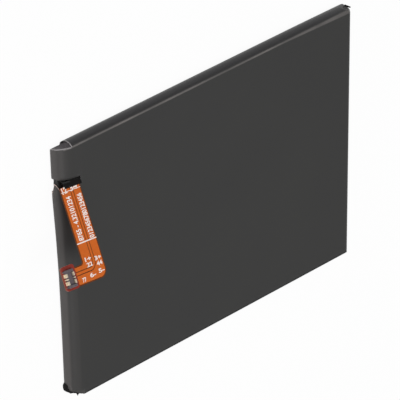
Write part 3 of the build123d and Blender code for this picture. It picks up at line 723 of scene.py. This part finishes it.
def capEnds(rings):
    # flat ends for a row of closed four-point rings
    return [gridPatch(ring[[[0, 1], [3, 2]]]) for ring in (rings[0], rings[-1])]


def atHeight(line, height):
    # the points of a flat line with the height as their third number
    return np.concatenate([line, np.full((len(line), 1), height)], 1)


def ribbon(first, second, low, high):
    # a bar of rectangular section between two lines of equal length
    sides = ((first, low), (second, low), (second, high), (first, high))
    rings = onTail(np.stack([atHeight(line, height) for line, height in sides], 1))
    return [loopPatch(rings)] + capEnds(rings)


def bentBar(path, low, high, sheet):
    # a flat bar carried along a side line, half the sheet to either side, from low to high across it
    path = np.asarray(path, float)
    way = np.gradient(path, axis=0)
    way /= np.linalg.norm(way, axis=1, keepdims=True)
    normal = np.stack([-way[:, 1], way[:, 0]], 1)
    above, below = path + normal * (sheet / 2), path - normal * (sheet / 2)
    sides = ((below, low), (below, high), (above, high), (above, low))
    return np.stack([atHeight(line, across)[:, [2, 0, 1]] for line, across in sides], 1)


def roundedBlock(centre, size, radius, low, high, bevel=0.03):
    # rings round a rounded rectangle: middle, foot, wall, bevel and middle again, so that it is closed
    corners = []
    for turn, (sx, sy) in enumerate(((1, 1), (-1, 1), (-1, -1), (1, -1))):
        angle = np.linspace(0, math.pi / 2, 6) + turn * math.pi / 2
        corners.append(np.stack([sx * (size[0] / 2 - radius) + radius * np.cos(angle),
                                 sy * (size[1] / 2 - radius) + radius * np.sin(angle)], 1))
    outline = np.concatenate(corners)
    shrink = 1 - 2 * bevel / np.array(size)
    levels = ((0, low), (shrink, low), (1, low + bevel), (1, high - bevel), (shrink, high), (0, high))
    rings = [atHeight(outline * scale + centre, height) for scale, height in levels]
    return loopPatch(onTail(np.stack(rings)))


def textPatch(text, middleX, middleY, height, length, turned, high):
    # a font outline made a mesh, scaled to the length and the height of a figure, turned, laid on the tail
    data = bpy.data.curves.new("mark", "FONT")
    data.body = text
    data.size = 1.0
    data.offset = flex["bolder"]
    data.align_x = "CENTER"
    holder = bpy.data.objects.new("mark", data)
    bpy.context.scene.collection.objects.link(holder)
    mesh = bpy.data.meshes.new_from_object(holder.evaluated_get(bpy.context.evaluated_depsgraph_get()))
    bpy.data.objects.remove(holder)
    bpy.data.curves.remove(data)
    mesh.calc_loop_triangles()
    flat = np.array([vertex.co[:2] for vertex in mesh.vertices])
    faces = np.array([triangle.vertices[:] for triangle in mesh.loop_triangles])
    bpy.data.meshes.remove(mesh)
    left, right, figure = flat[:, 0].min(), flat[:, 0].max(), flex["figure"]
    flat = (flat - [(left + right) / 2, figure / 2]) * [length / (right - left), height / figure]
    cosine, sine = math.cos(math.radians(turned)), math.sin(math.radians(turned))
    flat = flat @ np.array([[cosine, sine], [-sine, cosine]]) + [middleX, middleY]
    return onTail(atHeight(flat, high)), faces, 0


def flexMaterials():
    # the copper areas under their orange cover, and the darker gaps between them
    s = Shader("flexCopper")
    weave = s.noise(1.4, 3.0)
    fine = s.noise(9.0, 3.0)
    pour = s.surface({
        "Base Color": s.blend(weave, rgb(204, 94, 24), rgb(222, 112, 34)),
        "Roughness": 0.34 + (fine - 0.5) * 0.1, "Specular IOR Level": 0.3,
        "Normal": s.bump(fine, 0.004)})
    s = Shader("flexGap")
    weave = s.noise(2.0, 3.0)
    gap = s.surface({
        "Base Color": s.blend(weave, rgb(96, 48, 20), rgb(116, 62, 28)),
        "Roughness": 0.35, "Specular IOR Level": 0.2, "Normal": s.bump(weave, 0.004)})
    return pour, gap


print("building the flat circuit")
halfSheet = flex["sheet"] / 2
coverLow = halfSheet - flex["cover"]
trackLow = coverLow - flex["sink"]
pourFinish, gapFinish = flexMaterials()
padX = flex["padCentre"][0]
innerLine = turnLine(0, -flex["length"] + flex["legWidth"], flex["innerRadius"], padX)
outerLine = turnLine(flex["width"], -flex["length"], flex["outerRadius"], padX)
slope = math.tan(math.radians(flex["lift"]))
boardZ = flex["boardTop"] + halfSheet
topY = flex["bend"] / 2
topZ = flex["root"][2] - topY * slope
footY = topY + (topZ - boardZ) / math.tan(math.radians(flex["neckRise"]))
neckLine = roundedLine([(footY + flex["neckLength"], boardZ), (footY, boardZ), (topY, topZ),
                        (-flex["bend"], flex["root"][2] + flex["bend"] * slope)], flex["bend"], 8)
neckRings = onFlexFrame(bentBar(neckLine, *flex["neck"], flex["sheet"]))
makePiece("flexCircuit", ribbon(innerLine, outerLine, -halfSheet, coverLow) + [
    loopPatch(neckRings), *capEnds(neckRings),
    roundedBlock(flex["padCentre"], flex["padSize"], flex["padRadius"], -halfSheet, halfSheet)],
    [gapFinish], "flex_polyimide", ["flex_circuit"])
gap, gapWidth = flex["pourGap"], flex["gapWidth"]
traceLeft, traceRight = flex["trace"]


def traceLine(x):
    # a line beside the trace: its leg moves down and its radius grows by the distance across the strip
    off = x - flex["traceLine"]
    return turnLine(x, flex["traceLeg"] - off, flex["traceRadius"] + off, padX)


innerPour = turnLine(gap, -flex["length"] + flex["legWidth"] - gap, flex["innerRadius"] + gap, padX)
outerPour = turnLine(flex["width"] - gap, -flex["length"] + gap, flex["outerRadius"] - gap, padX)
tracks = ((innerPour, traceLine(traceLeft - gapWidth)), (traceLine(traceLeft), traceLine(traceRight)),
          (traceLine(traceRight + gapWidth), outerPour))
makePiece("flexTracks", [patch for sides in tracks for patch in ribbon(*sides, trackLow, halfSheet)],
          [pourFinish], "flex_polyimide")
printLow, printHigh = halfSheet, halfSheet + flex["print"]
marks = [textPatch(*mark, printHigh) for mark in flex["marks"]]
barRadius, barBevel = flex["barEdge"]
for left, right, bottom, top in flex["bars"]:
    middle, size = ((left + right) / 2, (bottom + top) / 2), (right - left, top - bottom)
    marks.append(roundedBlock(middle, size, barRadius, printLow, printHigh, barBevel))
printFinish = finish("whitePrint", rgb(252, 240, 234), 0.5, grain=9, depth=0.004, uneven=0.04, gloss=0.2)
makePiece("flexPrint", marks, [printFinish], "flex_polyimide", recalculate=False)


# black tape in the slit

rootTape = {
    "noseRows": (0.0, 0.62, 14), "noseInset": 0.2, "noseAcross": (24.8, 18.8, 26), "noseBack": 1.4,
    "from": -46.6, "to": -40.7, "across": 37, "tuck": 1.4, "slant": 0.6, "wrinkle": 0.04, "sheet": 0.05,
    # where the skin's height is read, and how far the tape lies over the root and over the neck there
    "skinAt": 22.7, "rootLift": 0.09, "neckLift": 0.72,
    # size, rates along x and y, and start of the sines that make the folds
    "folds": ((0.5, 3.1, 5.3, 0), (0.3, 6.7, -3.9, 1.2), (0.35, 1.7, 9.1, 0.5)),
}


def noseHeight(x, y):
    # height of the roll's front over a place, read back from its curve
    line, height = noseCurve(film, np.array(y), np.linspace(0, 1, 300))
    return np.interp(x, line, height)


def wrinkles(x, y, size):
    # folds fan out across the tape: the sum of a few sines at odd angles, sharpened to the power 0.8
    fold = sum(np.sin(x * wideways + y * longways + start) * share
               for share, wideways, longways, start in rootTape["folds"])
    return size * np.sign(fold) * np.abs(fold) ** 0.8


def tapeSheets(s):
    # one sheet lines the roll behind the slit; the other comes out from under its cover edge and climbs to
    # the strip's root, with its heights read between a few stations
    t = np.linspace(*s["noseRows"])[:, None]
    y = np.linspace(*s["noseAcross"])[None, :]
    x, z = noseCurve(film, y, t, s["noseInset"])
    tip = x[:1]
    back = np.linspace(0, 1, 5)[:-1, None]
    x = np.concatenate([tip + (1 - back) * s["noseBack"], x])
    z = np.concatenate([0.3 + 0.7 * back + 0 * y, z])
    lining = np.stack([x, y + 0 * x, z], -1)
    lining[..., 0] += wrinkles(z * 2, y + 0 * z, s["wrinkle"])
    across = np.linspace(s["from"], s["to"], s["across"])[None, :]
    coverSlope = film["slitSlope"] * (across - tipX) / film["slitLength"]
    cover = film["width"] / 2 - film["slitFromEdge"] - coverSlope
    rootX, rootY, rootZ = flex["root"]
    rootLine = rootY - (across - rootX) * math.tan(math.radians(flex["skew"]))
    skin = noseHeight(across, s["skinAt"])
    share = np.linspace(0, 1, 18)[:, None]
    stations = np.array([0, 0.4, 0.6, 0.75, 0.9, 1.0])
    yAt = [cover + s["tuck"], cover + 0.1, cover - 0.12, (cover + rootLine) / 2, rootLine + 0.1,
           rootLine - 0.35]
    top = rootZ + s["rootLift"] + 0 * skin

    def neckHeight(y):
        # the root's height and the lift, less the way to the root line times the tangent of the neck's rise
        return rootZ + s["neckLift"] - (y - rootLine) * math.tan(math.radians(flex["neckRise"]))

    zAt = [skin - 0.6, skin - 0.34, np.maximum(skin - 0.3, neckHeight(yAt[2])),
           np.maximum(skin - 0.2, neckHeight(yAt[3])), top, top + 0.35 * slope]

    def along(levels):
        # every column's levels, read between the stations at each share
        levels = np.concatenate(levels)
        return np.stack([np.interp(share[:, 0], stations, levels[:, k]) for k in range(levels.shape[1])], 1)

    y, z = along(yAt), along(zAt)
    # the right edge slants in towards the strip
    x = across - s["slant"] * smoothStep(0.62, 0.76, share) * smoothStep(s["from"] + 2.5, s["to"], across)
    hold = np.clip(share * 6, 0, 1) * np.clip((1 - share) * 5, 0, 1)
    z = z + wrinkles(x, y * 1.3, s["wrinkle"]) * hold
    return lining, np.stack([x, y, z], -1)


print("laying the black tape")
lining, tape = tapeSheets(rootTape)
s = Shader("glossyBlackTape")
crumple = s.noise(1.3, 4.0, 0.55)
blackTape = s.surface({
    "Base Color": s.blend(crumple, rgb(10, 9, 9), rgb(18, 16, 16)), "Roughness": 0.16 + crumple * 0.1,
    "Specular IOR Level": 0.4, "Normal": s.bump(crumple, 0.05)})
makePiece("rootTape", [gridPatch(lining), gridPatch(tape)], [blackTape], "black_tape", ["flex_root_tape"],
          recalculate=False, sheet=rootTape["sheet"])


cornerTape = {
    # in from the far edge at each height, where the hidden end lies, and how far the loose end stands off
    "torn": ((0.0, 2.7), (0.53, 2.0), (1.2, 1.62), (2.04, 1.22), (2.6, 1.42), (3.01, 1.28), (3.12, 0.8),
             (3.17, 0.52), (3.21, 0.9), (3.27, 1.05), (3.4, 0.8)),
    "hidden": 7.0, "inset": 0.16, "standOff": 0.55, "sheet": 0.08,
}


def cornerTapeSheet(s):
    # follows the roll from under it to its front; each row ends at the torn line for its height
    half, top, inset = film["width"] / 2, film["thickness"], s["inset"]
    places, insets = np.array(s["torn"]).T
    share = np.linspace(0, 1, 16)[None, :]

    def row(curve, t, *more):
        # the place inward runs from the torn line to the hidden end by the share
        t = t[:, None]
        middle = curve(film, np.array([2.5 - half]), t, *more)[1]
        height = np.clip((middle - inset) / (top - 2 * inset), 0, 1) * top
        inward = s["hidden"] + (np.interp(height, places, insets) - s["hidden"]) * share
        x, z = curve(film, inward - half, t, *more)
        loose = s["standOff"] * smoothStep(3.6, 2.8, inward) * smoothStep(1.9, 0.7, height)
        return np.stack([x - loose, inward - half, z], -1)

    lower = row(underCurve, np.linspace(0.5, 1, 7)[:-1])
    lower[..., 0] += inset
    return np.concatenate([lower, row(noseCurve, np.linspace(0, 0.86, 40), inset)])


dullTape = finish("dullBlackTape", rgb(22, 20, 20), 0.6, grain=1.1, depth=0.05, gloss=0.15)
makePiece("cornerTape", [gridPatch(cornerTapeSheet(cornerTape))], [dullTape], "black_tape", ["corner_tape"],
          recalculate=False, sheet=cornerTape["sheet"])


# plain finishes of the inner pieces

print("finishing the inner pieces")
innerFinishes = {
    # nodes, colour, roughness, metal, grain, depth of the bump, unevenness, gloss and coat
    "pouchLaminate": ("pouch_cell", (186, 188, 194), 0.32, 0.85, 1.6, 0.03),
    "aluminiumTab": ("positive_tab", (205, 206, 210), 0.3, 1.0, 6),
    "nickelTab": ("negative_tab positive_weld_plate negative_weld_plate",
                  (190, 186, 178), 0.34, 1.0, 6),
    "tabSealant": ("positive_tab_seal negative_tab_seal", (44, 44, 46), 0.55, 0.0, 5),
    "whiteTape": ("board_tape", (222, 220, 212), 0.7, 0.0, 5, 0.02),
    "boardMask": ("protection_board", (22, 72, 48), 0.35, 0.0, 6, 0.01, 0.2, 0.5, 0.4),
    "blackResin": ("protection_ic switch_transistors chip_resistors", (30, 30, 31), 0.5, 0.0, 8, 0.02),
    "fuseBody": ("fuse", (40, 92, 64), 0.45, 0.0, 6, 0.02),
    "ceramicChip": ("thermistor chip_capacitors", (168, 140, 112), 0.5, 0.0, 8, 0.02),
    "coverTape": ("cover_tape", (60, 52, 50), 0.4, 0.0, 1.2, 0.05, 0.12, 0.3),
    "solderMetal": ("flex_solder_joints anchor_pads", (206, 206, 202), 0.25, 1.0, 10, 0.02),
    "goldPlate": ("power_contacts signal_contacts", (250, 232, 204), 0.3, 0.5, 12),
    "redBoard": ("connector_board", (142, 42, 28), 0.36, 0.0, 5, 0.02, 0.25),
    "stiffenerLaminate": ("connector_stiffener", (168, 92, 60), 0.5, 0.0, 5, 0.02),
    "connectorResin": ("connector_housing", (102, 92, 98), 0.42, 0.0, 9, 0.02, 0.3),
}
for name, (nodes, color, *numbers) in innerFinishes.items():
    material = finish(name, rgb(*color), *numbers)
    for node in nodes.split():
        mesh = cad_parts[node].data
        mesh.materials.clear()
        mesh.materials.append(material)


# floor, light and world

lightSet = {
    "worldFill": 0.45, "worldTop": 0.15, "floorShade": 0.05, "floorReach": 2000, "floorHeight": -0.02,
    "lamps": {
        # way to the lamp, distance, size and watts
        "softBoxAbove": ((-0.35, -0.05, 1.0), 0.75, 0.4, 2.2),
        "softBoxFill": ((0.2, 0.3, 1.0), 0.9, 0.6, 0.7),
        "softBoxRoll": ((-1.0, -0.15, 0.1), 0.8, 0.5, 0.9),
    },
}


def studio(s):
    # each lamp stands its distance away and looks at the origin; the floor shows white to the camera and in
    # gloss, less the floor's shade
    for name, (way, far, size, watts) in s["lamps"].items():
        data = bpy.data.lights.new(name, "AREA")
        data.shape = "SQUARE"
        data.size = size
        data.energy = watts
        lamp = bpy.data.objects.new(name, data)
        bpy.context.scene.collection.objects.link(lamp)
        lamp.location = Vector(way).normalized() * far
        lamp.rotation_euler = (-lamp.location).to_track_quat("-Z", "Y").to_euler()

    pale = Shader("paleFloor")
    camera, glossy, through = pale.rays()
    white = pale.join("MAXIMUM", pale.join("MAXIMUM", camera, glossy), through) * (1 - s["floorShade"])
    plain = pale.add("ShaderNodeBsdfPrincipled", {}, {
        "Base Color": pale.blend(pale.noise(0.02, 2.0), (0.86, 0.86, 0.86, 1), (0.9, 0.9, 0.9, 1)),
        "Roughness": 0.8, "Specular IOR Level": 0.2})
    glow = pale.add("ShaderNodeEmission", {}, {"Color": (1, 1, 1, 1), "Strength": 1.0})
    side = np.linspace(-s["floorReach"], s["floorReach"], 5)
    grid = np.stack(np.meshgrid(side, side, [s["floorHeight"]], indexing="ij"), -1)[:, :, 0]
    points, quads, marks = gridPatch(grid)
    mesh = bpy.data.meshes.new("floor")
    mesh.from_pydata((points * mm).tolist(), [], quads.tolist())
    mesh.materials.append(pale.end(pale.mix(white, plain, glow)))
    floor = bpy.data.objects.new("floor", mesh)
    bpy.context.scene.collection.objects.link(floor)

    # seen directly the world is white; gloss sees a room that is white at the horizon and darker overhead,
    # and all other rays see the fill
    world = Shader("studio", world=True)
    bpy.context.scene.world = world.owner
    camera, glossy, through = world.rays()
    way = world.add("ShaderNodeTexCoord", out="Generated")
    height = world.add("ShaderNodeSeparateXYZ", {}, {0: way}, "Z")
    dim = world.add("ShaderNodeMapRange", {"interpolation_type": "SMOOTHSTEP"}, {
        "Value": height, "From Min": 0.04, "From Max": 0.4, "To Min": 1.0, "To Max": s["worldTop"]})
    fill, room, white = (world.add("ShaderNodeBackground", {}, {"Color": (1, 1, 1, 1), "Strength": level})
                         for level in (s["worldFill"], dim, 1.0))
    unseen = world.mix(world.join("MAXIMUM", glossy, through), fill, room)
    world.end(world.mix(camera, unseen, white))


print("setting the studio")
studio(lightSet)
setCamera(cameraSet)
bpy.context.scene.view_settings.view_transform = "Standard"

print("done")
